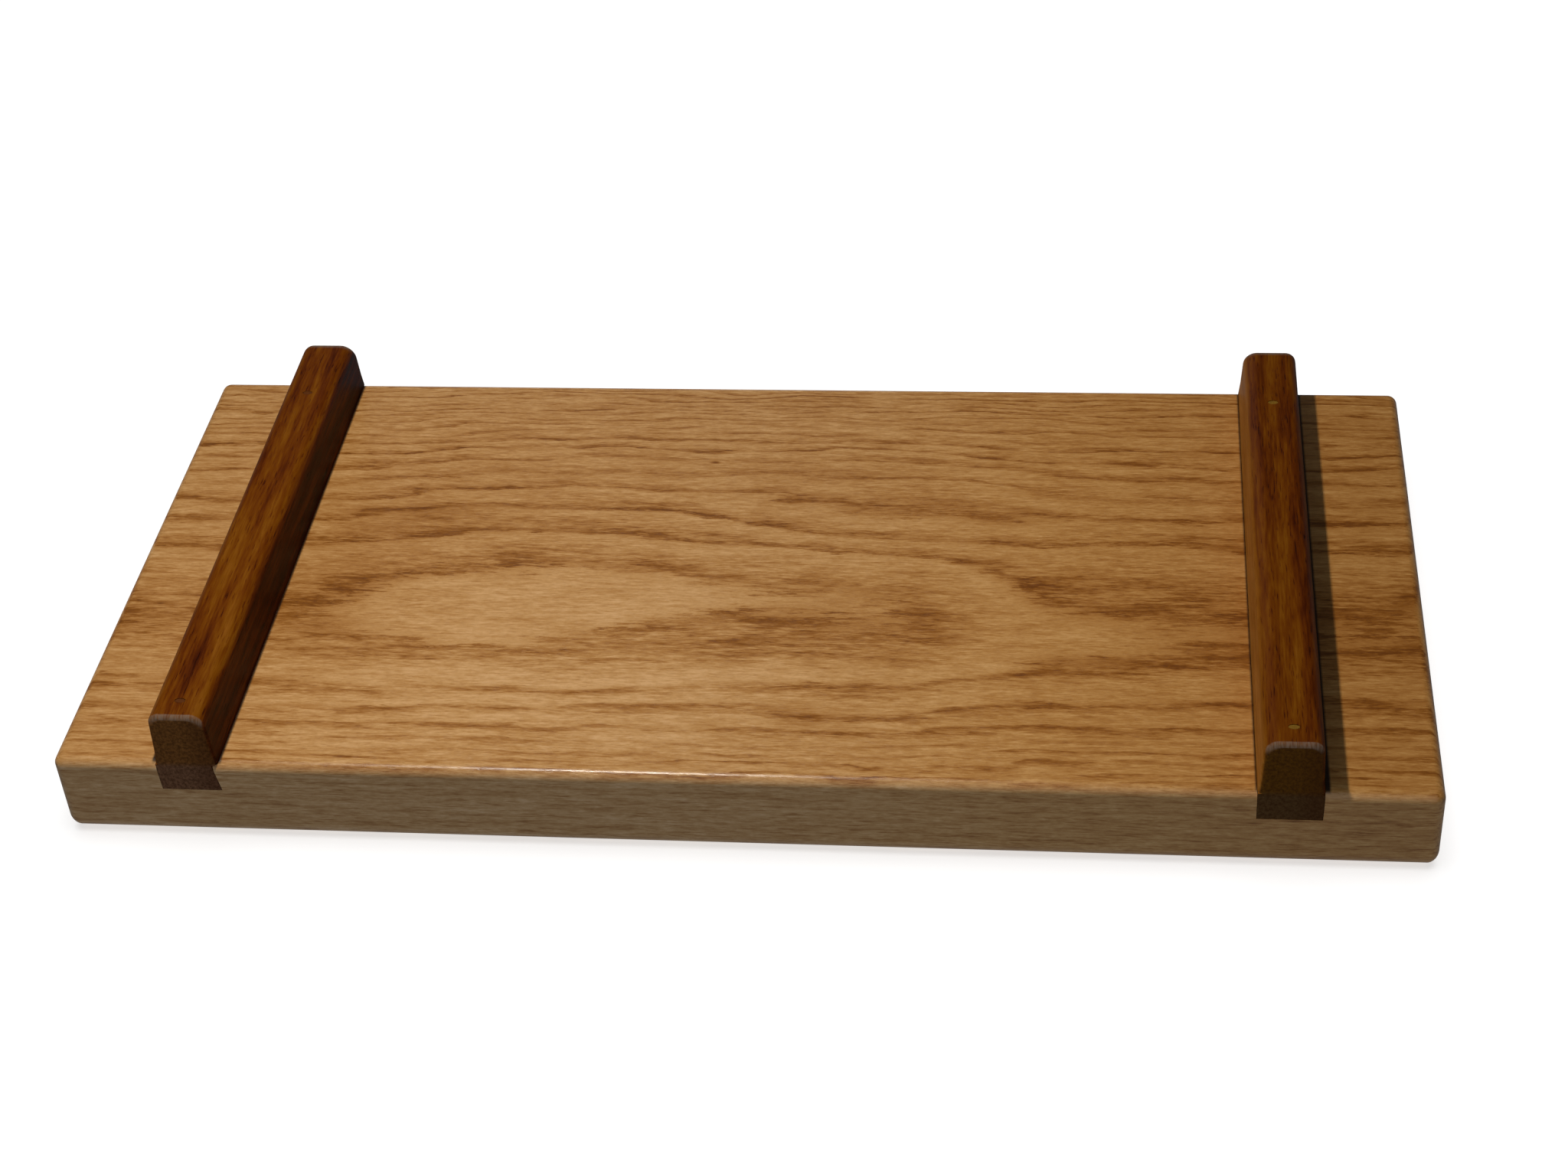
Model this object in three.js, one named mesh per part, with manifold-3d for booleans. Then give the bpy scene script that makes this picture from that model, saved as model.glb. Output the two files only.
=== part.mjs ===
// Serving tray: one thick oak board with two dark hardwood strip handles let into grooves.
// Millimetres. +X to the right along the board, +Y to the back, +Z up.
// The origin is the middle of the underside, where the tray rests.

import * as THREE from 'three';
import { mergeVertices } from 'three/addons/utils/BufferGeometryUtils.js';
import Module from 'manifold-3d';

const wasm = await Module();
wasm.setup();

// ---- Driving dimensions ----

const BOARD = {
  length: 406,
  depth: 198,
  thickness: 29,
  topRound: 3,
  bottomRound: 6,
  cornerRadius: 3.2,
};

const HANDLE = {
  leftCentreX: -161.5,
  rightCentreX: 160,
  rise: 18.5,
  baseHalf: 9.5,
  waistRise: 4,
  waistHalf: 9,
  shoulderHalf: 8.5,
  topRound: 3.5,
  frontEase: 1.6,
  backEase: 1.2,
  backTopRound: 6.5,
};

// Each tail is the part of a handle below the board's surface. Half-widths are measured from the
// handle's middle, toward the tray's middle (inner) and toward its end (outer).
const TAIL_DEPTH = 10;
const DOVETAIL = { innerNeck: 7.6, innerFoot: 9.2, outerNeck: 9.3, outerFoot: 8.8 };
const STRAIGHT_TAIL = { innerNeck: 9.3, innerFoot: 9.2, outerNeck: 9.3, outerFoot: 9.2 };

// The nails stand on the handles' centre lines, this far along the board's depth.
const NAIL_PLACES = { back: 66, front: -91.5 };
const NAIL = {
  length: 38,
  point: 3,
  tipRadius: 0.15,
  shankRadius: 0.8,
  headHalfX: 1.35,
  headHalfY: 0.75,
  headThickness: 1,
  headTaper: 0.3,
};
const FILLER = { depth: 1.5, halfX: 1.6, halfY: 0.95 };

// The handles' shoulders sit in a shallow rebate along each groove's mouth.
const REBATE_DEPTH = 0.5;

// Clearances: the glue line around each tail and shoulder, and the fit of a nail in its hole.
const GLUE_LINE = 0.15;
const NAIL_FIT = 0.1;

const ARC_STEPS = 6;
const OVAL_STEPS = 20;

// ---- Derived heights ----

const SURFACE = BOARD.thickness;
const REBATE_FLOOR = SURFACE - REBATE_DEPTH;
const SEAT = REBATE_FLOOR + GLUE_LINE;
const HANDLE_TOP = SURFACE + HANDLE.rise;
const TAIL_FOOT = SURFACE - TAIL_DEPTH;
const NAIL_TOP = HANDLE_TOP - FILLER.depth;
const NAIL_TIP = NAIL_TOP - NAIL.length;

// ---- Materials ----

const OAK = new THREE.MeshStandardMaterial({ color: 0xb98a57, roughness: 0.42, metalness: 0 });
const DARK_WOOD = new THREE.MeshStandardMaterial({ color: 0x4f2a0e, roughness: 0.28, metalness: 0 });
const STEEL = new THREE.MeshStandardMaterial({ color: 0x9a9a9a, roughness: 0.4, metalness: 1 });
const DARK_FILLER = new THREE.MeshStandardMaterial({ color: 0x5a3312, roughness: 0.6, metalness: 0 });
const PALE_FILLER = new THREE.MeshStandardMaterial({ color: 0x9c7334, roughness: 0.6, metalness: 0 });

// ---- Shape helpers ----

// A closed solid through rings of points that all have the same number of points, each ring
// counter-clockwise seen from the far end, with a fan over the first and the last ring.
function loft(rings) {
  const count = rings[0].length;
  const positions = rings.flat().flatMap((point) => [point.x, point.y, point.z]);
  const indices = [];
  for (let ring = 0; ring + 1 < rings.length; ring += 1) {
    for (let step = 0; step < count; step += 1) {
      const next = (step + 1) % count;
      const [a, b] = [ring * count + step, ring * count + next];
      const [c, d] = [a + count, b + count];
      indices.push(a, b, d, a, d, c);
    }
  }
  addFan(positions, indices, rings[0], 0, true);
  addFan(positions, indices, rings[rings.length - 1], (rings.length - 1) * count, false);
  const geometry = new THREE.BufferGeometry();
  geometry.setAttribute('position', new THREE.Float32BufferAttribute(positions, 3));
  geometry.setIndex(indices);
  return geometry;
}

function addFan(positions, indices, ring, start, reversed) {
  const centre = ring.reduce((sum, point) => sum.add(point), new THREE.Vector3()).divideScalar(ring.length);
  const hub = positions.length / 3;
  positions.push(centre.x, centre.y, centre.z);
  for (let step = 0; step < ring.length; step += 1) {
    const [a, b] = [start + step, start + ((step + 1) % ring.length)];
    indices.push(hub, ...(reversed ? [b, a] : [a, b]));
  }
}

function toSolid(geometry) {
  const merged = mergeVertices(geometry, 1e-6);
  const vertProperties = Float32Array.from(merged.attributes.position.array);
  const triVerts = Uint32Array.from(merged.index.array);
  return new wasm.Manifold(new wasm.Mesh({ numProp: 3, vertProperties, triVerts }));
}

function toMesh(name, solid, material) {
  const { vertProperties, triVerts } = solid.getMesh();
  const geometry = new THREE.BufferGeometry();
  geometry.setAttribute('position', new THREE.BufferAttribute(vertProperties, 3));
  geometry.setIndex(new THREE.BufferAttribute(triVerts, 1));
  geometry.computeVertexNormals();
  const mesh = new THREE.Mesh(geometry, material);
  mesh.name = name;
  return mesh;
}

// How far a rounded edge falls back at this distance from the face that it rounds into.
function roundFall(distance, radius) {
  const reach = Math.max(radius - distance, 0);
  return radius - Math.sqrt(radius * radius - reach * reach);
}

// Distances from a face, closer together near it, out to where its rounded edge ends.
function roundSteps(radius) {
  const angles = Array.from({ length: ARC_STEPS + 1 }, (_, step) => (step / ARC_STEPS) * (Math.PI / 2));
  return angles.map((angle) => radius * (1 - Math.cos(angle)));
}

// ---- Board ----

function roundedRectangle(halfX, halfY, radius, z) {
  const ring = [];
  for (let corner = 0; corner < 4; corner += 1) {
    const signX = corner === 0 || corner === 3 ? 1 : -1;
    const signY = corner < 2 ? 1 : -1;
    for (let step = 0; step <= ARC_STEPS; step += 1) {
      const angle = (corner + step / ARC_STEPS) * (Math.PI / 2);
      ring.push(new THREE.Vector3(
        signX * (halfX - radius) + radius * Math.cos(angle),
        signY * (halfY - radius) + radius * Math.sin(angle),
        z,
      ));
    }
  }
  return ring;
}

function boardBlank() {
  const smallestCorner = 0.4;
  const ringAt = (height, inset) => roundedRectangle(
    BOARD.length / 2 - inset,
    BOARD.depth / 2 - inset,
    Math.max(BOARD.cornerRadius - inset, smallestCorner),
    height,
  );
  const lower = roundSteps(BOARD.bottomRound).map((rise) => (
    ringAt(rise, roundFall(rise, BOARD.bottomRound))
  ));
  const upper = roundSteps(BOARD.topRound).reverse().map((drop) => (
    ringAt(SURFACE - drop, roundFall(drop, BOARD.topRound))
  ));
  return toSolid(loft([...lower, ...upper]));
}

function buildBoard(handles) {
  let solid = boardBlank();
  for (const handle of handles) {
    solid = solid.subtract(grooveCutter(handle));
    for (const place of Object.values(NAIL_PLACES)) {
      solid = solid.subtract(nailHole(handle.centreX, place));
    }
  }
  return toMesh('board', solid, OAK);
}

// ---- Handles ----

// The tail's four corners in X and Z, grown by a clearance on its sides and foot.
function tailSection(handle, clearance) {
  const { tail, inward, centreX } = handle;
  const at = (offset, z) => new THREE.Vector2(centreX + inward * offset, z);
  return [
    at(-tail.outerFoot - clearance, TAIL_FOOT - clearance),
    at(tail.innerFoot + clearance, TAIL_FOOT - clearance),
    at(tail.innerNeck + clearance, SEAT),
    at(-tail.outerNeck - clearance, SEAT),
  ];
}

// A prism along Y with the given section.
function prismAlongY(section, halfDepth) {
  const turned = THREE.ShapeUtils.area(section) > 0 ? [...section].reverse() : section;
  const ringAt = (y) => turned.map((corner) => new THREE.Vector3(corner.x, y, corner.y));
  return toSolid(loft([ringAt(-halfDepth), ringAt(halfDepth)]));
}

function rebateSection(centreX, top) {
  const half = HANDLE.baseHalf + GLUE_LINE;
  return [
    new THREE.Vector2(centreX - half, REBATE_FLOOR),
    new THREE.Vector2(centreX + half, REBATE_FLOOR),
    new THREE.Vector2(centreX + half, top),
    new THREE.Vector2(centreX - half, top),
  ];
}

function grooveCutter(handle) {
  const overrun = 5;
  const halfDepth = BOARD.depth / 2 + overrun;
  const groove = prismAlongY(tailSection(handle, GLUE_LINE), halfDepth);
  return groove.add(prismAlongY(rebateSection(handle.centreX, SURFACE + overrun), halfDepth));
}

// The grip's section above the board, with its sides drawn in and its top lowered by the easing
// of the handle's ends. It runs clockwise in X and Z, from one foot over the top to the other.
function gripSection(sideInset, topDrop) {
  const radius = HANDLE.topRound;
  const arcX = HANDLE.shoulderHalf - radius - sideInset;
  const arcZ = HANDLE_TOP - radius - topDrop;
  const right = [
    new THREE.Vector2(HANDLE.baseHalf - sideInset, SEAT),
    new THREE.Vector2(HANDLE.waistHalf - sideInset, SURFACE + HANDLE.waistRise),
  ];
  for (let step = 0; step <= ARC_STEPS; step += 1) {
    const angle = (step / ARC_STEPS) * (Math.PI / 2);
    right.push(new THREE.Vector2(arcX + radius * Math.cos(angle), arcZ + radius * Math.sin(angle)));
  }
  const left = right.map((point) => new THREE.Vector2(-point.x, point.y));
  return [...left, ...right.reverse()];
}

function gripSolid(centreX) {
  const ringAt = (y, sideInset, topDrop) => gripSection(sideInset, topDrop).map((point) => (
    new THREE.Vector3(centreX + point.x, y, point.y)
  ));
  const end = BOARD.depth / 2;
  const front = roundSteps(HANDLE.frontEase).map((distance) => {
    const fall = roundFall(distance, HANDLE.frontEase);
    return ringAt(-end + distance, fall, fall);
  });
  const back = roundSteps(HANDLE.backTopRound).reverse().map((distance) => (
    ringAt(end - distance, roundFall(distance, HANDLE.backEase), roundFall(distance, HANDLE.backTopRound))
  ));
  return toSolid(loft([...front, ...back]));
}

function buildHandle(handle) {
  let solid = gripSolid(handle.centreX).add(prismAlongY(tailSection(handle, 0), BOARD.depth / 2));
  for (const place of Object.values(NAIL_PLACES)) {
    solid = solid.subtract(nailHole(handle.centreX, place));
    solid = solid.subtract(fillerPocket(handle.centreX, place));
  }
  return toMesh(`handle_${handle.side}`, solid, DARK_WOOD);
}

// ---- Nails and filler ----

// A solid with oval sections stacked along Z, each level given as height and half-widths.
function ovalStack(x, y, levels) {
  const rings = levels.map(({ z, halfX, halfY }) => (
    Array.from({ length: OVAL_STEPS }, (_, step) => {
      const angle = (step / OVAL_STEPS) * Math.PI * 2;
      return new THREE.Vector3(x + halfX * Math.cos(angle), y + halfY * Math.sin(angle), z);
    })
  ));
  return toSolid(loft(rings));
}

function nailSolid(x, y, clearance) {
  const headFoot = NAIL_TOP - NAIL.headThickness - clearance;
  const level = (z, halfX, halfY) => ({ z, halfX: halfX + clearance, halfY: halfY + clearance });
  return ovalStack(x, y, [
    level(NAIL_TIP - clearance, NAIL.tipRadius, NAIL.tipRadius),
    level(NAIL_TIP + NAIL.point, NAIL.shankRadius, NAIL.shankRadius),
    level(headFoot - NAIL.headTaper, NAIL.shankRadius, NAIL.shankRadius),
    level(headFoot, NAIL.headHalfX, NAIL.headHalfY),
    level(NAIL_TOP, NAIL.headHalfX, NAIL.headHalfY),
  ]);
}

function nailHole(x, y) {
  return nailSolid(x, y, NAIL_FIT);
}

function fillerSolid(x, y, clearance, top) {
  const level = (z) => ({ z, halfX: FILLER.halfX + clearance, halfY: FILLER.halfY + clearance });
  return ovalStack(x, y, [level(NAIL_TOP + NAIL_FIT - clearance), level(top)]);
}

function fillerPocket(x, y) {
  return fillerSolid(x, y, NAIL_FIT, HANDLE_TOP + 1);
}

// ---- Assembly ----

const HANDLES = [
  { side: 'left', centreX: HANDLE.leftCentreX, inward: 1, tail: DOVETAIL, filler: DARK_FILLER },
  { side: 'right', centreX: HANDLE.rightCentreX, inward: -1, tail: STRAIGHT_TAIL, filler: PALE_FILLER },
];

const tray = new THREE.Group();
tray.add(buildBoard(HANDLES));
for (const handle of HANDLES) {
  tray.add(buildHandle(handle));
  for (const [place, y] of Object.entries(NAIL_PLACES)) {
    const nail = nailSolid(handle.centreX, y, 0);
    const filler = fillerSolid(handle.centreX, y, 0, HANDLE_TOP);
    tray.add(toMesh(`nail_${handle.side}_${place}`, nail, STEEL));
    tray.add(toMesh(`filler_${handle.side}_${place}`, filler, handle.filler));
  }
}

export default tray;
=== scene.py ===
"""Serving tray: a thick oak board with two dark hardwood handles let into grooves, in a studio."""

import math

import bmesh
import bpy
from mathutils import Matrix, Vector, noise


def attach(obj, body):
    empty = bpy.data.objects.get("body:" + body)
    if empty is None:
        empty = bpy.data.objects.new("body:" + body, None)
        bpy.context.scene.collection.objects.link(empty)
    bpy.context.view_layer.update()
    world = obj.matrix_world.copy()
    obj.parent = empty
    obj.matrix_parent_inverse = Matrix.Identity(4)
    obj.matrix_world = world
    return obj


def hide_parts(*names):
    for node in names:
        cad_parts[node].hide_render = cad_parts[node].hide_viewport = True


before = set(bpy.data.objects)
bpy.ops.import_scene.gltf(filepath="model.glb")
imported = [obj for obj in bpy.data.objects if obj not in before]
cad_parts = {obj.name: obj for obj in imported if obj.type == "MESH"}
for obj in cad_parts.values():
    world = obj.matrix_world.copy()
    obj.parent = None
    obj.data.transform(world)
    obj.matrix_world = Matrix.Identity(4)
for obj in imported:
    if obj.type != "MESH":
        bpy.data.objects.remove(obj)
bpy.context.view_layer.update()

MM = 0.001
BODY = "root"


# ---- The tray's sizes, in millimetres, as in the CAD ----

LENGTH, DEPTH, SURFACE = 406, 198, 29
TOP_ROUND, BOTTOM_ROUND, CORNER = 3, 6, 3.2

# The handles' middles along X, and the way outward from the board's middle.
MIDDLES = {"left": -161.5, "right": 160}
SIDES = {"left": -1, "right": 1}

# A handle's grip: its half-widths, and how its ends are rounded.
TOP = SURFACE + 18.5
WAIST = SURFACE + 4
BASE_HALF, WAIST_HALF, SHOULDER_HALF = 9.5, 9, 8.5
FRONT_EASE, BACK_EASE, BACK_TOP_ROUND = 1.6, 1.2, 6.5

# The inner top edge is rounder here than in the CAD, where both are rounded alike.
INNER_ROUND, OUTER_ROUND = 4.5, 3.5

# A handle's tail, in its groove. Half-widths are measured from the handle's middle.
SEAT, REBATE_FLOOR, FOOT = 28.65, 28.5, 19
GLUE = 0.15
TAILS = {
    "left": {"inner_neck": 7.6, "inner_foot": 9.2, "outer_neck": 9.3, "outer_foot": 8.8},
    "right": {"inner_neck": 9.3, "inner_foot": 9.2, "outer_neck": 9.3, "outer_foot": 9.2},
}

# The nails' places along Y, and their shape.
PLACES = {"back": 66, "front": -91.5}
NAIL_TOP = TOP - 1.5
NAIL_TIP = NAIL_TOP - 38
NAIL_POINT, TIP_RADIUS, SHANK_RADIUS = 3, 0.15, 0.8
HEAD_HALF_X, HEAD_HALF_Y, HEAD_THICKNESS, HEAD_TAPER = 1.35, 0.75, 1, 0.3
NAIL_FIT = 0.1

# The filler in the pocket over each nail. Its levels are given as height and half-widths along
# X and Y, and its top is a little sunk.
FILLER_HALF_X, FILLER_HALF_Y = 1.6, 0.95
PLUG_LEVELS = [
    (NAIL_TOP + NAIL_FIT, 1.58, 0.93),
    (TOP - 0.12, FILLER_HALF_X, FILLER_HALF_Y),
    (TOP - 0.04, 1.5, 0.86),
    (TOP - 0.06, 0.9, 0.5),
]
GRIT_HEIGHT = 0.03 * MM
GRIT_PER_METRE = 1500


# ---- Camera ----

CAMERA = {
    "aim": (7.3 * MM, -11.3 * MM, 29 * MM),
    "distance": 0.8477,
    "azimuth": 8.563,
    "elevation": 38.70,
    "roll": -4.340,
    "lens": 62.25,
}


def make_camera():
    """The camera looks at the middle of the board's surface, from the front and a little right."""
    data = bpy.data.cameras.new("camera")
    data.lens = CAMERA["lens"]
    data.sensor_width = 36
    data.clip_start = 0.01
    camera = bpy.data.objects.new("camera", data)
    bpy.context.scene.collection.objects.link(camera)
    turn = Matrix.Rotation(math.radians(CAMERA["azimuth"]), 4, "Z")
    tilt = Matrix.Rotation(math.radians(90 - CAMERA["elevation"]), 4, "X")
    roll = Matrix.Rotation(math.radians(CAMERA["roll"]), 4, "Z")
    back = Matrix.Translation((0, 0, CAMERA["distance"]))
    camera.matrix_world = Matrix.Translation(CAMERA["aim"]) @ turn @ tilt @ back @ roll
    bpy.context.scene.camera = camera


# ---- Light and floor ----

GROUND = (0.24, 0.245, 0.245, 1)
ROOM = (0.03, 0.032, 0.035, 1)
ROOM_STARTS = 0.12
FLOOR_HALF = 6
FLOOR_WHITE = (0.95, 0.95, 0.95, 1)
FLOOR_GLOW = 0.65


def area_light(name, place, size, power, colour, target=None):
    """A round lamp that faces the target, or straight down."""
    data = bpy.data.lights.new(name, "AREA")
    data.shape = "DISK"
    data.size = size
    data.energy = power
    data.color = colour
    lamp = bpy.data.objects.new(name, data)
    bpy.context.scene.collection.objects.link(lamp)
    lamp.location = place
    if target:
        away = Vector(place) - Vector(target)
        lamp.rotation_euler = away.to_track_quat("Z", "Y").to_euler()
    return lamp


def make_lights():
    """A small warm lamp high above the left handle, soft cool fills, and a wash for the floor."""
    middle = (0, 0, 0.03)
    key_place = (-155 * MM, -60 * MM, 720 * MM)
    lamps = [
        area_light("key", key_place, 0.045, 3.3, (1, 0.93, 0.82)),
        area_light("front_fill", (0.1, -1.33, 0.93), 2.2, 7.2, (0.76, 0.88, 1), middle),
        area_light("back_fill", (-0.3, 1.5, 0.3), 0.8, 1.0, (0.85, 0.93, 1), middle),
    ]
    wash = area_light("floor_wash", (0, 0, 2.6), 2.4, 36, (1, 0.99, 0.98))
    return lamps, wash


def make_world():
    """A dim room: dark above, and a grey ground that stands in for the floor in its light."""
    world = bpy.data.worlds.new("studio")
    world.use_nodes = True
    tree = world.node_tree
    place = tree.nodes.new("ShaderNodeTexCoord")
    split = tree.nodes.new("ShaderNodeSeparateXYZ")
    ramp = tree.nodes.new("ShaderNodeValToRGB")
    ground, room = ramp.color_ramp.elements
    ground.position, ground.color = 0.0, GROUND
    room.position, room.color = ROOM_STARTS, ROOM
    tree.links.new(place.outputs["Generated"], split.inputs[0])
    tree.links.new(split.outputs["Z"], ramp.inputs[0])
    tree.links.new(ramp.outputs[0], tree.nodes["Background"].inputs["Color"])
    bpy.context.scene.world = world


def set_view():
    view = bpy.context.scene.view_settings
    view.view_transform = "Standard"
    view.look = "None"


def make_floor():
    """A white floor that glows a little, and neither lights the tray nor shows in its gloss."""
    half = FLOOR_HALF
    corners = [(-half, -half, 0), (half, -half, 0), (half, half, 0), (-half, half, 0)]
    mesh = bpy.data.meshes.new("floor")
    mesh.from_pydata(corners, [], [(0, 1, 2, 3)])
    floor = bpy.data.objects.new("floor", mesh)
    bpy.context.scene.collection.objects.link(floor)
    material = bpy.data.materials.new("floor_white")
    material.use_nodes = True
    shader = material.node_tree.nodes["Principled BSDF"]
    shader.inputs["Base Color"].default_value = FLOOR_WHITE
    shader.inputs["Roughness"].default_value = 0.9
    shader.inputs["Emission Color"].default_value = (1, 1, 1, 1)
    shader.inputs["Emission Strength"].default_value = FLOOR_GLOW
    mesh.materials.append(material)
    floor.visible_diffuse = False
    floor.visible_glossy = False
    return floor


def aim_lights(lamps, wash, floor):
    """The lamps light only the tray, and the wash only the floor, so the floor has soft shadows."""
    for light, state in [*((lamp, "EXCLUDE") for lamp in lamps), (wash, "INCLUDE")]:
        group = bpy.data.collections.new(light.name + "_lights")
        group.objects.link(floor)
        light.light_linking.receiver_collection = group
        group.collection_objects[0].light_linking.link_state = state


# ---- Node helper ----

class Shade:
    """A material's node tree. Each method adds one node or a few, and returns their output."""

    def __init__(self, name):
        self.material = bpy.data.materials.new(name)
        self.material.use_nodes = True
        self.tree = self.material.node_tree
        self.shader = self.tree.nodes["Principled BSDF"]
        place = self.tree.nodes.new("ShaderNodeTexCoord")
        self.point = self.vector("SCALE", place.outputs["Object"], scale=1 / MM)
        self.x, self.y, self.z = self.split(self.point)
        self.facing = [self.math("ABSOLUTE", part) for part in self.split(place.outputs["Normal"])]

    def split(self, vector):
        node = self.tree.nodes.new("ShaderNodeSeparateXYZ")
        self.tree.links.new(vector, node.inputs[0])
        return node.outputs

    def put(self, socket, value):
        if isinstance(value, bpy.types.NodeSocket):
            self.tree.links.new(value, socket)
        else:
            socket.default_value = value

    def math(self, operation, a, b=0.0, c=0.0, clamp=False):
        node = self.tree.nodes.new("ShaderNodeMath")
        node.operation = operation
        node.use_clamp = clamp
        for socket, value in zip(node.inputs, (a, b, c)):
            self.put(socket, value)
        return node.outputs[0]

    def vector(self, operation, a, b=(0, 0, 0), scale=1.0):
        node = self.tree.nodes.new("ShaderNodeVectorMath")
        node.operation = operation
        self.put(node.inputs[0], a)
        if operation == "SCALE":
            self.put(node.inputs["Scale"], scale)
        else:
            self.put(node.inputs[1], b)
        return node.outputs["Vector"]

    def combine(self, x, y, z):
        node = self.tree.nodes.new("ShaderNodeCombineXYZ")
        for socket, value in zip(node.inputs, (x, y, z)):
            self.put(socket, value)
        return node.outputs[0]

    def noise(self, size, detail=2.0, roughness=0.5, seed=0.0):
        """Noise whose features have this size in millimetres along X, Y and Z, from 0 to 1."""
        node = self.tree.nodes.new("ShaderNodeTexNoise")
        node.noise_dimensions = "4D"
        stretched = self.vector("MULTIPLY", self.point, tuple(1 / s for s in size))
        self.put(node.inputs["Vector"], stretched)
        self.put(node.inputs["W"], seed)
        node.inputs["Scale"].default_value = 1
        node.inputs["Detail"].default_value = detail
        node.inputs["Roughness"].default_value = roughness
        return node.outputs[0]

    def grain(self, size, detail, roughness, seed):
        """The same noise, centred on 0."""
        return self.math("SUBTRACT", self.noise(size, detail, roughness, seed), 0.5)

    def per_number(self, value, seed=0.0):
        """A fixed random value from 0 to 1 for each whole number."""
        node = self.tree.nodes.new("ShaderNodeTexWhiteNoise")
        node.noise_dimensions = "2D"
        self.put(node.inputs["Vector"], self.combine(value, seed, 0.0))
        return node.outputs["Value"]

    def ramp(self, value, stops):
        """A colour, or a level, that runs through these stops."""
        node = self.tree.nodes.new("ShaderNodeValToRGB")
        elements = node.color_ramp.elements
        while len(elements) < len(stops):
            elements.new(0.5)
        for element, (position, colour) in zip(elements, stops):
            element.position = position
            level = colour if isinstance(colour, tuple) else (colour,) * 3
            element.color = (*level, 1)
        self.put(node.inputs[0], value)
        return node.outputs[0]

    def smooth(self, value, low, high, to_low=0.0, to_high=1.0):
        """A smooth step from to_low to to_high as the value goes from low to high."""
        node = self.tree.nodes.new("ShaderNodeMapRange")
        node.interpolation_type = "SMOOTHSTEP"
        for socket, given in zip(node.inputs, (value, low, high, to_low, to_high)):
            self.put(socket, given)
        return node.outputs[0]

    def mix(self, share, a, b, mode="MIX"):
        """The first colour, with this share of the second mixed in."""
        node = self.tree.nodes.new("ShaderNodeMix")
        node.data_type = "RGBA"
        node.blend_type = mode
        for key, value in (("Factor_Float", share), ("A_Color", a), ("B_Color", b)):
            socket = next(s for s in node.inputs if s.identifier == key)
            if isinstance(value, tuple):
                value = (*value, 1)
            self.put(socket, value)
        return next(s for s in node.outputs if s.identifier == "Result_Color")

    def bell(self, square):
        """A bell curve of a squared distance, 1 at its middle."""
        return self.math("EXPONENT", self.math("MULTIPLY", square, -0.5))

    def swell(self, centre, size, height, lean=0.0):
        """A smooth hump in X and Y, this high; lean tilts its long axis."""
        return self.swell_at(self.x, self.y, centre, size, height, lean)

    def swell_at(self, x, y, centre, size, height, lean=0.0):
        across = self.math("DIVIDE", self.math("SUBTRACT", x, centre[0]), size[0])
        offset = self.math("SUBTRACT", y, centre[1])
        tilted = self.math("MULTIPLY_ADD", across, -lean * size[0], offset)
        along = self.math("DIVIDE", tilted, size[1])
        square = self.math("MULTIPLY_ADD", across, across, self.math("MULTIPLY", along, along))
        return self.math("MULTIPLY", self.bell(square), height)

    def surface(self, colour, roughness, height, relief):
        """Sets the colour, the roughness, and a bump this many metres high."""
        node = self.tree.nodes.new("ShaderNodeBump")
        node.inputs["Distance"].default_value = relief
        node.inputs["Strength"].default_value = 1.0
        self.put(node.inputs["Height"], height)
        self.put(self.shader.inputs["Base Color"], colour)
        self.put(self.shader.inputs["Roughness"], roughness)
        self.put(self.shader.inputs["Normal"], node.outputs[0])


# ---- Oak ----

# The board is cut beside the heart of a trunk whose growth rings lie along X. The heart runs
# below the board, at this place in Y and Z, and bends to the front near the board's left end.
HEART_Y, HEART_Z = -24.0, -136.0
HEART_BEND = -4

# The rings' spacing at the board's surface, straight above the heart, where they start to be
# counted, and how far they wander to the front and back.
RING = 3.5
RING_PHASE = 0.4
RIPPLE = 12

# Where along X the count of rings steps up, from and to, and by how many rings.
RIGHT_STEPS = ((40, 95, 0.76), (85, 175, 0.2))
LEFT_STEP = (-100, -160, 0.15)

# A dip in the rings across the whole board: its middle along X, its reach, and its rings.
DIP_X, DIP_REACH, DIP_RINGS = -66, 42, -0.38

# Past these places in Y the rings crowd together, by so many rings per square millimetre.
CROWDED_BACK, CROWDED_FRONT, CROWDING = 56, -64, 0.0026

# Where the rings swell out of their round shape: centre, size, rings, and lean of the long axis.
SWELLS = (
    ((35, 22), (30, 10), 1.0, -0.05),
    ((30, 52), (40, 12), -0.5, 0.0),
    ((-15, -68), (35, 7), 0.5, 0.1),
    ((-90, -74), (45, 7), 0.35, 0.0),
    ((-30, -33), (35, 8), 0.3, 0.15),
    ((25, -17), (22, 7), -0.15, 0.0),
    ((115, -14), (45, 10), 0.3, 0.0),
    ((95, -46), (30, 10), -0.12, 0.0),
)


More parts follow.
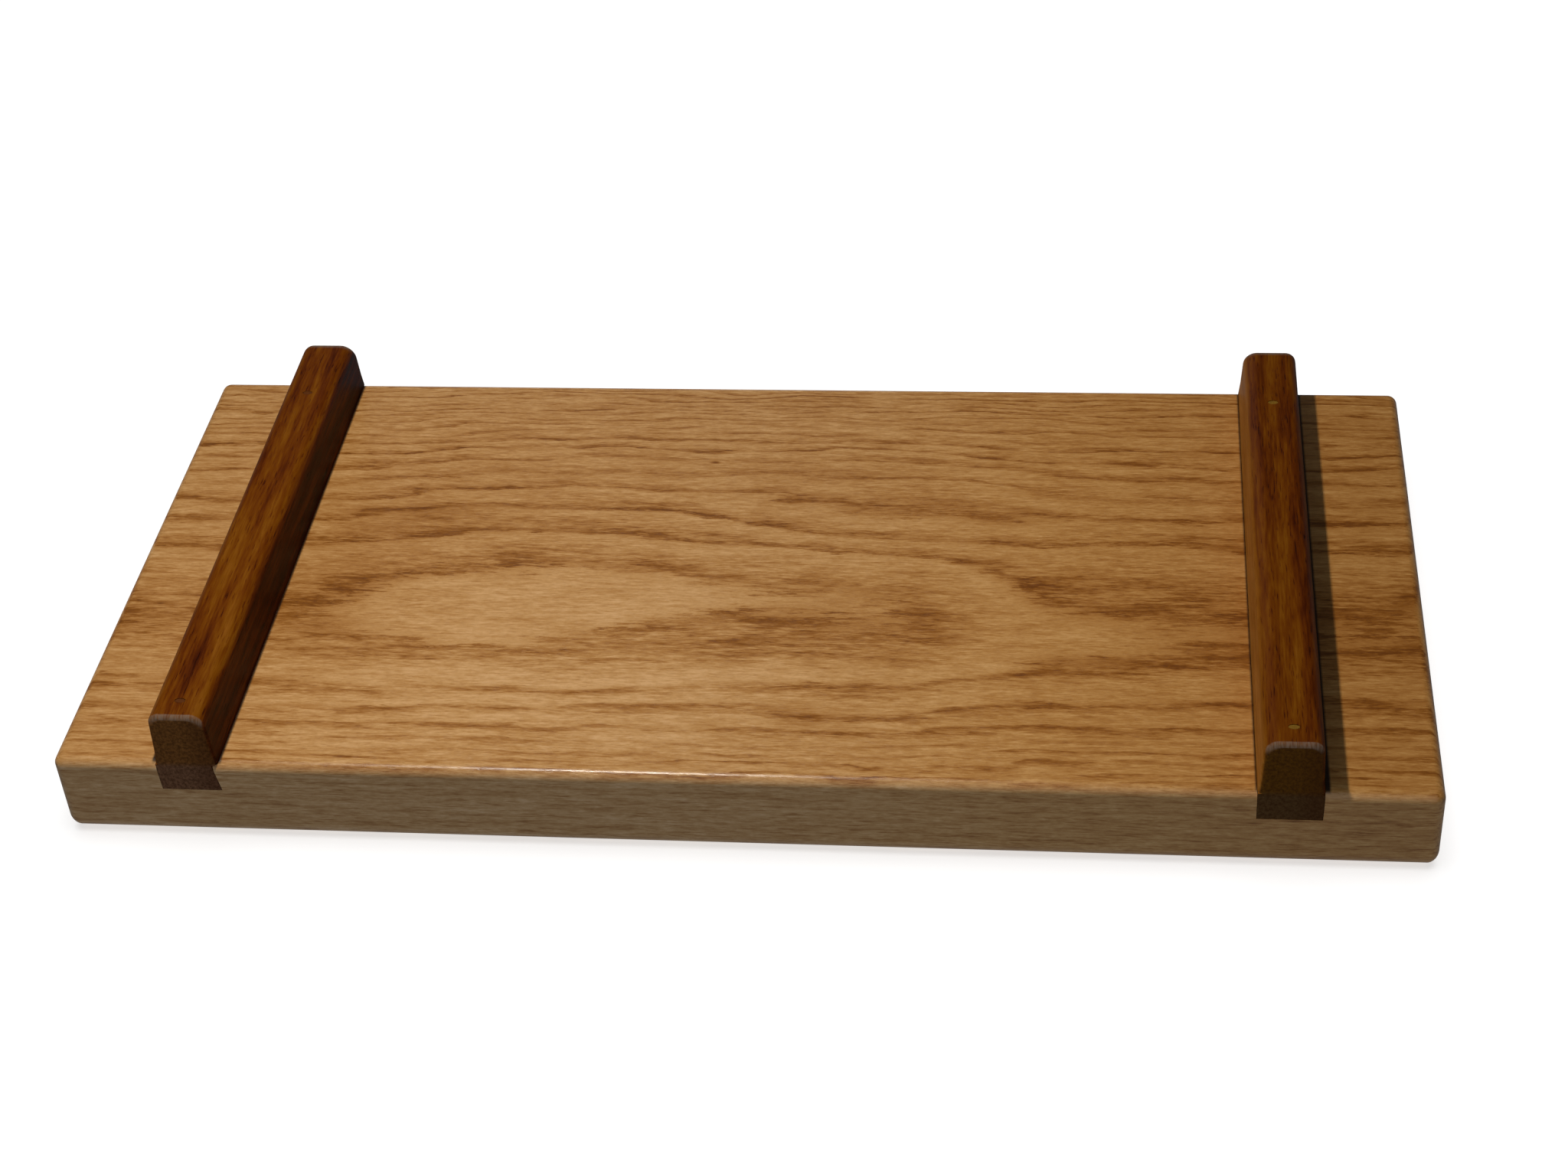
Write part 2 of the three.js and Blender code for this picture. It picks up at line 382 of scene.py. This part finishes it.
def growth_rings(s):
    """How many rings out from the heart each point of the wood is."""
    ripple = s.grain((48, 10, 10), detail=3, roughness=0.55, seed=1.0)
    wavy = s.math("MULTIPLY_ADD", ripple, RIPPLE, s.y)
    heart = s.math("MULTIPLY_ADD", s.smooth(s.x, -90, -170), HEART_BEND, HEART_Y)
    side = s.math("SUBTRACT", wavy, heart)
    depth = s.math("SUBTRACT", s.z, HEART_Z)
    square = s.math("MULTIPLY_ADD", side, side, s.math("MULTIPLY", depth, depth))
    rings = s.math("DIVIDE", square, 2 * (SURFACE - HEART_Z) * RING)
    near = s.smooth(s.y, 35, 85, 1.0, 0.3)
    first, second = (s.smooth(s.x, low, high, 0.0, count) for low, high, count in RIGHT_STEPS)
    rings = s.math("MULTIPLY_ADD", near, s.math("ADD", first, second), rings)
    low, high, count = LEFT_STEP
    rings = s.math("ADD", rings, s.smooth(s.x, low, high, 0.0, count))
    dip = s.math("DIVIDE", s.math("SUBTRACT", s.x, DIP_X), DIP_REACH)
    rings = s.math("MULTIPLY_ADD", s.bell(s.math("MULTIPLY", dip, dip)), DIP_RINGS, rings)
    for swell in SWELLS:
        rings = s.math("ADD", rings, s.swell(*swell))
    past_back = s.math("SUBTRACT", wavy, CROWDED_BACK)
    past_front = s.math("SUBTRACT", CROWDED_FRONT, wavy)
    for past in (past_back, past_front):
        past = s.math("MAXIMUM", past, 0)
        rings = s.math("MULTIPLY_ADD", s.math("MULTIPLY", past, past), CROWDING, rings)
    return s.math("ADD", rings, RING_PHASE)


# How dark the wood is through one year, from one ring line to the next: the early wood, and the
# line itself.
EARLY_WOOD = [(0.0, 1.0), (0.1, 0.9), (0.3, 0.45), (0.55, 0.1), (0.9, 0.0), (1.0, 0.8)]
RING_LINE = [(0.0, 1.0), (0.05, 0.8), (0.13, 0.0), (0.96, 0.0), (1.0, 1.0)]

# The rings break up more and more away from this line along X.
WHOLE_RINGS_Y = -4


def dark_rings(s, fibre, dashes):
    """How dark each growth ring is, with ragged edges and broken along its length."""
    ragged = s.math("MULTIPLY_ADD", dashes, 0.55, growth_rings(s))
    rings = s.math("MULTIPLY_ADD", fibre, 0.5, ragged)
    age = s.math("FRACT", rings)
    strength = s.smooth(s.per_number(s.math("FLOOR", rings), 3.0), 0, 1, 0.45, 1.0)
    away = s.smooth(s.math("ABSOLUTE", s.math("SUBTRACT", s.y, WHOLE_RINGS_Y)), 35, 75)
    broken = s.smooth(s.noise((26, 3.5, 3.5), detail=3, roughness=0.6, seed=4.0), 0.36, 0.6)
    broken = s.math("MAXIMUM", broken, s.math("MULTIPLY_ADD", away, -0.35, 0.45))
    early = s.math("MULTIPLY", s.ramp(age, EARLY_WOOD), strength)
    dark = s.math("MULTIPLY", early, broken)
    crisp = s.smooth(s.noise((70, 7, 7), detail=2, roughness=0.5, seed=15.0), 0.4, 0.58)
    crisp = s.math("MULTIPLY", crisp, s.smooth(s.y, -60, 20, 0.2, 0.42))
    line = s.math("MULTIPLY", s.ramp(age, RING_LINE), crisp)
    dark = s.math("MULTIPLY_ADD", line, strength, dark)
    return s.math("MULTIPLY", dark, s.smooth(s.facing[2], 0.3, 0.9, 0.4, 1.0))


# Where the wood is darker or lighter than around it: centre, size, how much, and lean.
PATCHES = (
    ((-45, -44), (62, 34), 0.34, 0.1),
    ((-123, 16), (24, 20), -0.2, 0.2),
    ((-135, -30), (10, 22), -0.16, 0.0),
    ((-112, 24), (13, 3), -0.35, 0.1),
    ((18, -71), (12, 3.4), -0.3, -0.2),
    ((62, 32), (22, 3), -0.25, -0.2),
    ((10, 50), (22, 3), -0.25, -0.1),
    ((-66, -29), (20, 3), -0.12, 0.0),
    ((8, -27), (28, 8), -0.22, 0.12),
)
KNOT = ((-22.3, 54.4), (1.0, 0.42), 1.3, 0.0)

# The wood's tone between the rings, how much a ring darkens it, and the range of tones that the
# colours cover.
PLAIN_TONE, RING_TONE = 0.22, -1.05
DARKEST, PALEST = -1.2, 0.7

# The wood's colours from its darkest pores to its palest bands, by how bright they are.
OAK_TONES = [
    (0.0, (0.18, 0.055, 0.004)),
    (0.25, (0.29, 0.105, 0.013)),
    (0.45, (0.40, 0.172, 0.040)),
    (0.63, (0.495, 0.24, 0.070)),
    (0.80, (0.60, 0.325, 0.118)),
    (1.0, (0.74, 0.44, 0.20)),
]
RIGHT_TINT = (1.04, 1.0, 0.86)
# The side faces are tinted cooler: a painted shade that stands in for the cool light on them.
SIDE_SHADE_TINT = (0.87, 0.93, 1.1)

# The painted contact shadow along the foot of each handle, where it meets the board: its shift
# from the handle's middle, how far out it is dark and how far out it has faded, and its colour.
CONTACT_SHADOW_SHIFT = {"left": -0.2, "right": 0.5}
CONTACT_SHADOW_DARK, CONTACT_SHADOW_FADED = 10.0, 10.9
CONTACT_SHADOW_COLOUR = (0.01, 0.003, 0.001)

OAK_RELIEF = 0.000014


def oak_tone(s, fibre, pores):
    """How pale the oak is at each point, from 0 to 1."""
    flat = s.facing[2]
    dashes = s.grain((13, 1.6, 1.6), detail=3, roughness=0.6, seed=7.0)
    bands = s.grain((28, 5, 5), detail=2, roughness=0.5, seed=8.0)
    flecks = s.grain((1.7, 0.7, 0.7), detail=2, roughness=0.5, seed=11.0)
    dark = dark_rings(s, fibre, dashes)
    tone = s.math("MULTIPLY_ADD", dark, RING_TONE, PLAIN_TONE)
    for part, amount in ((fibre, 1.5), (dashes, 1.0), (bands, 0.6), (flecks, 0.6)):
        tone = s.math("MULTIPLY_ADD", part, amount, tone)
    tone = s.math("MULTIPLY_ADD", pores, s.math("MULTIPLY_ADD", dark, -0.3, -0.12), tone)
    tone = s.math("ADD", tone, s.smooth(s.x, 40, 220, 0.0, -0.24))
    ticks = s.smooth(s.noise((11, 0.75, 0.75), detail=2, roughness=0.55, seed=12.0), 0.54, 0.64)
    tone = s.math("MULTIPLY_ADD", ticks, s.smooth(flat, 0.2, 0.7, -0.42, -0.08), tone)
    for patch in PATCHES:
        tone = s.math("ADD", tone, s.swell(*patch))
    tone = s.math("SUBTRACT", tone, s.swell(*KNOT))
    span = PALEST - DARKEST
    return s.math("MULTIPLY_ADD", tone, 1 / span, -DARKEST / span, clamp=True)


def oak():
    """Flat-sawn oak with its grain along X, under a satin lacquer, with painted contact shadows
    beside the handles' feet and a painted cool shade on its sides.
    """
    s = Shade("oak")
    flat = s.facing[2]
    fibre = s.grain((4.2, 0.55, 0.55), detail=4, roughness=0.65, seed=2.0)
    pores = s.smooth(s.noise((3.5, 0.24, 0.24), detail=1, seed=3.0), 0.55, 0.66)
    colour = s.ramp(oak_tone(s, fibre, pores), OAK_TONES)
    colour = s.mix(s.smooth(s.x, -20, 120, 0.0, 1.0), colour, RIGHT_TINT, "MULTIPLY")
    # Painted shade: faces that don't face up are tinted cooler.
    colour = s.mix(s.smooth(flat, 0.2, 0.7, 1.0, 0.0), colour, SIDE_SHADE_TINT, "MULTIPLY")
    # A painted contact shadow: the board is darkened in a thin line beside the foot of each handle,
    # near its surface.
    near_surface = s.smooth(s.z, 28, 28.9)
    for side, middle in MIDDLES.items():
        beside = s.math("ABSOLUTE", s.math("SUBTRACT", s.x, middle + CONTACT_SHADOW_SHIFT[side]))
        line = s.smooth(beside, CONTACT_SHADOW_DARK, CONTACT_SHADOW_FADED, 0.97, 0.0)
        colour = s.mix(s.math("MULTIPLY", line, near_surface), colour, CONTACT_SHADOW_COLOUR)
    rubbed = s.smooth(s.math("MULTIPLY", s.facing[1], flat), 0.15, 0.35, 0.0, 0.07)
    roughness = s.math("SUBTRACT", s.smooth(fibre, -0.3, 0.3, 0.32, 0.4), rubbed)
    s.surface(colour, roughness, s.math("SUBTRACT", fibre, pores), OAK_RELIEF)
    return s.material


# ---- Dark hardwood ----

# The dark wood's colours from its pores to its palest streaks, by how bright they are.
DARK_TONES = [
    (0.0, (0.012, 0.002, 0.0003)),
    (0.15, (0.055, 0.008, 0.0003)),
    (0.29, (0.112, 0.023, 0.0004)),
    (0.40, (0.158, 0.041, 0.0006)),
    (0.50, (0.20, 0.064, 0.002)),
    (0.72, (0.29, 0.105, 0.010)),
    (1.0, (0.42, 0.18, 0.035)),
]

# How each handle's colours vary. Its inner side gets painted light: on the left handle it is
# darker, a painted shade, and on the right it is lighter, a painted reflection. The streaks have a
# centre and a size along X and Y, and how much lighter or darker they are. The end grain has one
# colour below the board's surface and one above it.
HANDLE_LOOKS = {
    "left": {
        "seed": 20.0,
        "inner": -0.24,
        "streaks": (
            ((5.5, -68), (2.4, 24), 0.07),
            ((1, -74), (2.5, 12), -0.14),
            ((5, 84), (3, 12), -0.1),
        ),
        "ends": ((0.145, 0.067, 0.034), (0.148, 0.056, 0.012)),
    },
    "right": {
        "seed": 30.0,
        "inner": 0.45,
        "streaks": (
            ((8, -20), (3.0, 75), -0.17),
            ((-5, 52), (3.5, 26), -0.1),
            ((0, -70), (1.8, 26), 0.05),
        ),
        "ends": ((0.072, 0.035, 0.011), (0.092, 0.034, 0.002)),
    },
}
PAINTED_END_SHADE = (0.035, 0.006, 0.0005)
END_PORES = (0.045, 0.012, 0.001)
END_LIFT = (1.45, 1.45, 1.45)
WEAR_AND_SHEEN_COLOUR = (0.2, 0.13, 0.088)
DARK_TONE = 0.385
DARK_GLOSS = 0.06
FINE_RELIEF = 0.00005


def end_grain(s, across, ends, seed):
    """The sawn ends: dark pores in wood, with a painted shade that darkens them towards the right.
    """
    dots = s.smooth(s.noise((1.1, 1.1, 1.1), detail=4, roughness=0.75, seed=seed), 0.36, 0.64)
    wood = s.mix(s.smooth(s.z, 27.5, 30), *ends)
    # Painted shade towards the right side of each end.
    wood = s.mix(s.smooth(across, 0, 7, 0.0, 0.4), wood, PAINTED_END_SHADE)
    wood = s.mix(1.0, wood, END_LIFT, "MULTIPLY")
    return s.mix(s.math("MULTIPLY", dots, 0.75), wood, END_PORES)


def dark_wood(side):
    """Dark hardwood with its grain along Y, painted light on its inner side, painted shade at the
    right of its sawn ends, and a pale band along the top edges of its ends that is partly wear and
    partly a painted sheen.
    """
    s = Shade("dark_hardwood_" + side)
    looks = HANDLE_LOOKS[side]
    seed = looks["seed"]
    across = s.math("SUBTRACT", s.x, MIDDLES[side])
    fibre = s.grain((0.7, 9, 0.7), detail=4, roughness=0.6, seed=seed)
    bands = s.grain((3.0, 45, 3), detail=3, roughness=0.55, seed=seed + 1)
    pores = s.smooth(s.noise((0.4, 6, 0.4), detail=1, seed=seed + 2), 0.62, 0.7)
    tone = s.math("MULTIPLY_ADD", fibre, 0.55, s.math("MULTIPLY_ADD", bands, 0.75, DARK_TONE))
    tone = s.math("MULTIPLY_ADD", pores, -0.2, tone)
    for streak in looks["streaks"]:
        tone = s.math("ADD", tone, s.swell_at(across, s.y, *streak))
    # Painted light on the inner side: a painted shade darkens the left handle's, and a painted
    # reflection lightens the right's.
    inner_painted_light = s.smooth(s.math("MULTIPLY", across, -SIDES[side]), 7.2, 8.9)
    tone = s.math("MULTIPLY_ADD", inner_painted_light, looks["inner"], tone)
    end = s.smooth(s.facing[1], 0.55, 0.92)
    sawn = end_grain(s, across, looks["ends"], seed + 4)
    colour = s.mix(end, s.ramp(tone, DARK_TONES), sawn)
    # A pale band on the rounded top edges of the ends: partly wear, partly a painted sheen.
    wear_and_sheen = s.smooth(s.math("MULTIPLY", s.facing[1], s.facing[2]), 0.05, 0.3)
    scuff = s.smooth(s.noise((0.5, 3, 3), detail=2, seed=seed + 5), 0.3, 0.65, 0.3, 0.9)
    colour = s.mix(s.math("MULTIPLY", wear_and_sheen, scuff), colour, WEAR_AND_SHEEN_COLOUR)
    rough = s.smooth(fibre, -0.3, 0.3, 0.42, 0.55)
    roughness = s.math("MULTIPLY_ADD", end, 0.2, rough)
    s.surface(colour, roughness, s.math("SUBTRACT", fibre, pores), FINE_RELIEF)
    s.shader.inputs["Specular IOR Level"].default_value = DARK_GLOSS
    return s.material


# ---- Filler and steel ----

# Each handle's filler: its name, its lighter and deeper colour, and its seed. The filler on the
# left is dark like the wood around it.
FILLERS = {
    "right": ("pale_filler", (0.26, 0.14, 0.013), (0.18, 0.085, 0.008), 40.0),
    "left": ("dark_filler", (0.125, 0.034, 0.002), (0.08, 0.019, 0.001), 41.0),
}
FILLER_GLOSS = 0.15

BRIGHT_STEEL, DULL_STEEL = (0.42, 0.42, 0.43), (0.22, 0.2, 0.19)
STEEL_RELIEF = 0.00002


def filler(name, light, deep, seed):
    """Gritty wood filler."""
    s = Shade(name)
    grit = s.noise((0.35, 0.35, 0.35), detail=3, seed=seed)
    colour = s.mix(s.smooth(grit, 0.3, 0.7), deep, light)
    s.surface(colour, s.smooth(grit, 0.2, 0.8, 0.5, 0.75), grit, FINE_RELIEF)
    s.shader.inputs["Specular IOR Level"].default_value = FILLER_GLOSS
    return s.material


def steel():
    """Drawn wire, dull in places."""
    s = Shade("nail_steel")
    draw = s.noise((0.2, 0.2, 6), detail=2, seed=9.0)
    dull = s.noise((2, 2, 4), detail=3, seed=10.0)
    colour = s.mix(s.smooth(dull, 0.4, 0.7), BRIGHT_STEEL, DULL_STEEL)
    s.surface(colour, s.smooth(dull, 0.3, 0.7, 0.3, 0.55), draw, STEEL_RELIEF)
    s.shader.inputs["Metallic"].default_value = 1
    return s.material


# ---- Shape helpers ----

ARC_STEPS = 12
CORNER_STEPS = 8
OVAL_STEPS = 32
SHARP_ANGLE = 32
FACE_WEIGHT = 90


def fall(distance, radius):
    """How far a rounded edge falls back at this distance from the face it rounds into."""
    reach = max(radius - distance, 0)
    return radius - math.sqrt(radius * radius - reach * reach)


def round_steps(radius):
    """Distances from a face that divide its rounded edge into equal angles."""
    return [radius * (1 - math.cos(math.pi / 2 * i / ARC_STEPS)) for i in range(ARC_STEPS + 1)]


def loft(name, rings):
    """A closed solid through rings of points, with one flat face over each end."""
    bm = bmesh.new()
    loops = [[bm.verts.new(Vector(p) * MM) for p in ring] for ring in rings]
    for low, high in zip(loops, loops[1:]):
        for i in range(len(low)):
            j = (i + 1) % len(low)
            bm.faces.new((low[i], low[j], high[j], high[i]))
    bm.faces.new(list(reversed(loops[0])))
    bm.faces.new(loops[-1])
    bmesh.ops.recalc_face_normals(bm, faces=bm.faces)
    mesh = bpy.data.meshes.new(name)
    bm.to_mesh(mesh)
    bm.free()
    thing = bpy.data.objects.new(name, mesh)
    bpy.context.scene.collection.objects.link(thing)
    return thing


def prism(name, section, half_depth):
    """A solid along Y with this section in X and Z."""
    return loft(name, [[(x, y, z) for x, z in section] for y in (-half_depth, half_depth)])


def oval_stack(name, x, y, levels):
    """A solid with oval sections, each level given as its height and half-widths."""
    angles = [math.tau * i / OVAL_STEPS for i in range(OVAL_STEPS)]
    rings = []
    for z, half_x, half_y in levels:
        rings.append([(x + half_x * math.cos(a), y + half_y * math.sin(a), z) for a in angles])
    return loft(name, rings)


def boolean(thing, operation, *others):
    """Joins the others to the thing, or takes them out of it, and removes them."""
    for other in others:
        modifier = thing.modifiers.new("boolean", "BOOLEAN")
        modifier.operation = operation
        modifier.solver = "EXACT"
        modifier.object = other
    settle(thing)
    for other in others:
        bpy.data.objects.remove(other)


def settle(thing):
    """Turns the thing's modifiers into its mesh."""
    evaluated = thing.evaluated_get(bpy.context.evaluated_depsgraph_get())
    shape = bpy.data.meshes.new_from_object(evaluated)
    thing.modifiers.clear()
    thing.data = shape


def finish_piece(thing, material, slot, *nodes):
    """Shades the piece smooth up to its sharp edges, and puts it in place of its CAD nodes."""
    for polygon in thing.data.polygons:
        polygon.use_smooth = True
    thing.data.set_sharp_from_angle(angle=math.radians(SHARP_ANGLE))
    weighted = thing.modifiers.new("flat_faces", "WEIGHTED_NORMAL")
    weighted.keep_sharp = True
    weighted.weight = FACE_WEIGHT
    settle(thing)
    thing.data.materials.clear()
    thing.data.materials.append(material)
    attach(thing, BODY)
    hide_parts(*nodes)


# ---- Board ----

def board_ring(height, inset):
    """The board's outline with its round corners, drawn in by the inset."""
    ring = []
    radius = max(CORNER - inset, 0.4)
    for corner in range(4):
        sign_x = 1 if corner in (0, 3) else -1
        sign_y = 1 if corner < 2 else -1
        for i in range(CORNER_STEPS + 1):
            angle = math.pi / 2 * (corner + i / CORNER_STEPS)
            ring.append((
                sign_x * (LENGTH / 2 - inset - radius) + radius * math.cos(angle),
                sign_y * (DEPTH / 2 - inset - radius) + radius * math.sin(angle),
                height,
            ))
    return ring


def tail_section(side, clearance):
    """A handle's tail in X and Z, or with a clearance its groove."""
    tail, out, x = TAILS[side], SIDES[side], MIDDLES[side]
    return [
        (x + out * (tail["outer_foot"] + clearance), FOOT - clearance),
        (x - out * (tail["inner_foot"] + clearance), FOOT - clearance),
        (x - out * (tail["inner_neck"] + clearance), SEAT),
        (x + out * (tail["outer_neck"] + clearance), SEAT),
    ]


def nail_hole(x, y):
    """A hole that fits a nail, and reaches a little way into the pocket over its head."""
    head_foot = NAIL_TOP - HEAD_THICKNESS - NAIL_FIT
    tip, shank = TIP_RADIUS + NAIL_FIT, SHANK_RADIUS + NAIL_FIT
    head = (HEAD_HALF_X + NAIL_FIT, HEAD_HALF_Y + NAIL_FIT)
    return oval_stack("nail_hole", x, y, [
        (NAIL_TIP - NAIL_FIT, tip, tip),
        (NAIL_TIP + NAIL_POINT, shank, shank),
        (head_foot - HEAD_TAPER, shank, shank),
        (head_foot, *head),
        (NAIL_TOP + NAIL_FIT / 2, *head),
    ])


def make_board():
    lower = [board_ring(rise, fall(rise, BOTTOM_ROUND)) for rise in round_steps(BOTTOM_ROUND)]
    drops = reversed(round_steps(TOP_ROUND))
    upper = [board_ring(SURFACE - drop, fall(drop, TOP_ROUND)) for drop in drops]
    board = loft("oak_board", lower + upper)
    cutters = []
    for side, x in MIDDLES.items():
        cutters.append(prism("groove", tail_section(side, GLUE), DEPTH))
        left, right = x - BASE_HALF - GLUE, x + BASE_HALF + GLUE
        mouth = [(left, REBATE_FLOOR), (right, REBATE_FLOOR), (right, TOP), (left, TOP)]
        cutters.append(prism("rebate", mouth, DEPTH))
        cutters += [nail_hole(x, y) for y in PLACES.values()]
    boolean(board, "DIFFERENCE", *cutters)
    finish_piece(board, oak(), "oak", "board")


# ---- Handles ----

def grip_section(x, inset, drop):
    """A handle's section above its tail, drawn in and lowered where its ends are rounded."""
    outline = []
    for side in (1, -1):
        radius = INNER_ROUND if side * x < 0 else OUTER_ROUND
        half = [(BASE_HALF - inset, SEAT), (WAIST_HALF - inset, WAIST)]
        for i in range(ARC_STEPS + 1):
            angle = math.pi / 2 * i / ARC_STEPS
            out = SHOULDER_HALF - radius - inset + radius * math.cos(angle)
            half.append((out, TOP - radius - drop + radius * math.sin(angle)))
        outline += half if side == 1 else [(-a, b) for a, b in reversed(half)]
    return [(x + a, b) for a, b in outline]


def make_handle(side):
    x = MIDDLES[side]
    end = DEPTH / 2
    rings = []
    for distance in round_steps(FRONT_EASE):
        inset = fall(distance, FRONT_EASE)
        rings.append([(a, -end + distance, b) for a, b in grip_section(x, inset, inset)])
    for distance in reversed(round_steps(BACK_TOP_ROUND)):
        section = grip_section(x, fall(distance, BACK_EASE), fall(distance, BACK_TOP_ROUND))
        rings.append([(a, end - distance, b) for a, b in section])
    grip = loft("handle_" + side + "_wood", rings)
    boolean(grip, "UNION", prism("tail", tail_section(side, 0), end))
    pocket = (FILLER_HALF_X + NAIL_FIT, FILLER_HALF_Y + NAIL_FIT)
    cutters = []
    for y in PLACES.values():
        cutters.append(nail_hole(x, y))
        cutters.append(oval_stack("pocket", x, y, [(NAIL_TOP, *pocket), (TOP + 1, *pocket)]))
    boolean(grip, "DIFFERENCE", *cutters)
    finish_piece(grip, dark_wood(side), "dark_hardwood", "handle_" + side)


# ---- Nails and filler ----

def make_plug(side, place, material):
    """A plug of wood filler over a nail's head, with an uneven top."""
    name = "filler_" + side + "_" + place
    plug = oval_stack(name + "_plug", MIDDLES[side], PLACES[place], PLUG_LEVELS)
    for vertex in plug.data.vertices:
        vertex.co.z += GRIT_HEIGHT * noise.noise(vertex.co * GRIT_PER_METRE)
    finish_piece(plug, material, FILLERS[side][0], name)


def make_nails_and_fillers():
    fillings = {side: filler(*look) for side, look in FILLERS.items()}
    metal = steel()
    for side, material in fillings.items():
        for place in PLACES:
            make_plug(side, place, material)
            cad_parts["nail_" + side + "_" + place].material_slots[0].material = metal


# ---- Scene ----

make_camera()
lamps, wash = make_lights()
make_world()
set_view()
aim_lights(lamps, wash, make_floor())
make_board()
for side in SIDES:
    make_handle(side)
make_nails_and_fillers()

bpy.context.view_layer.update()
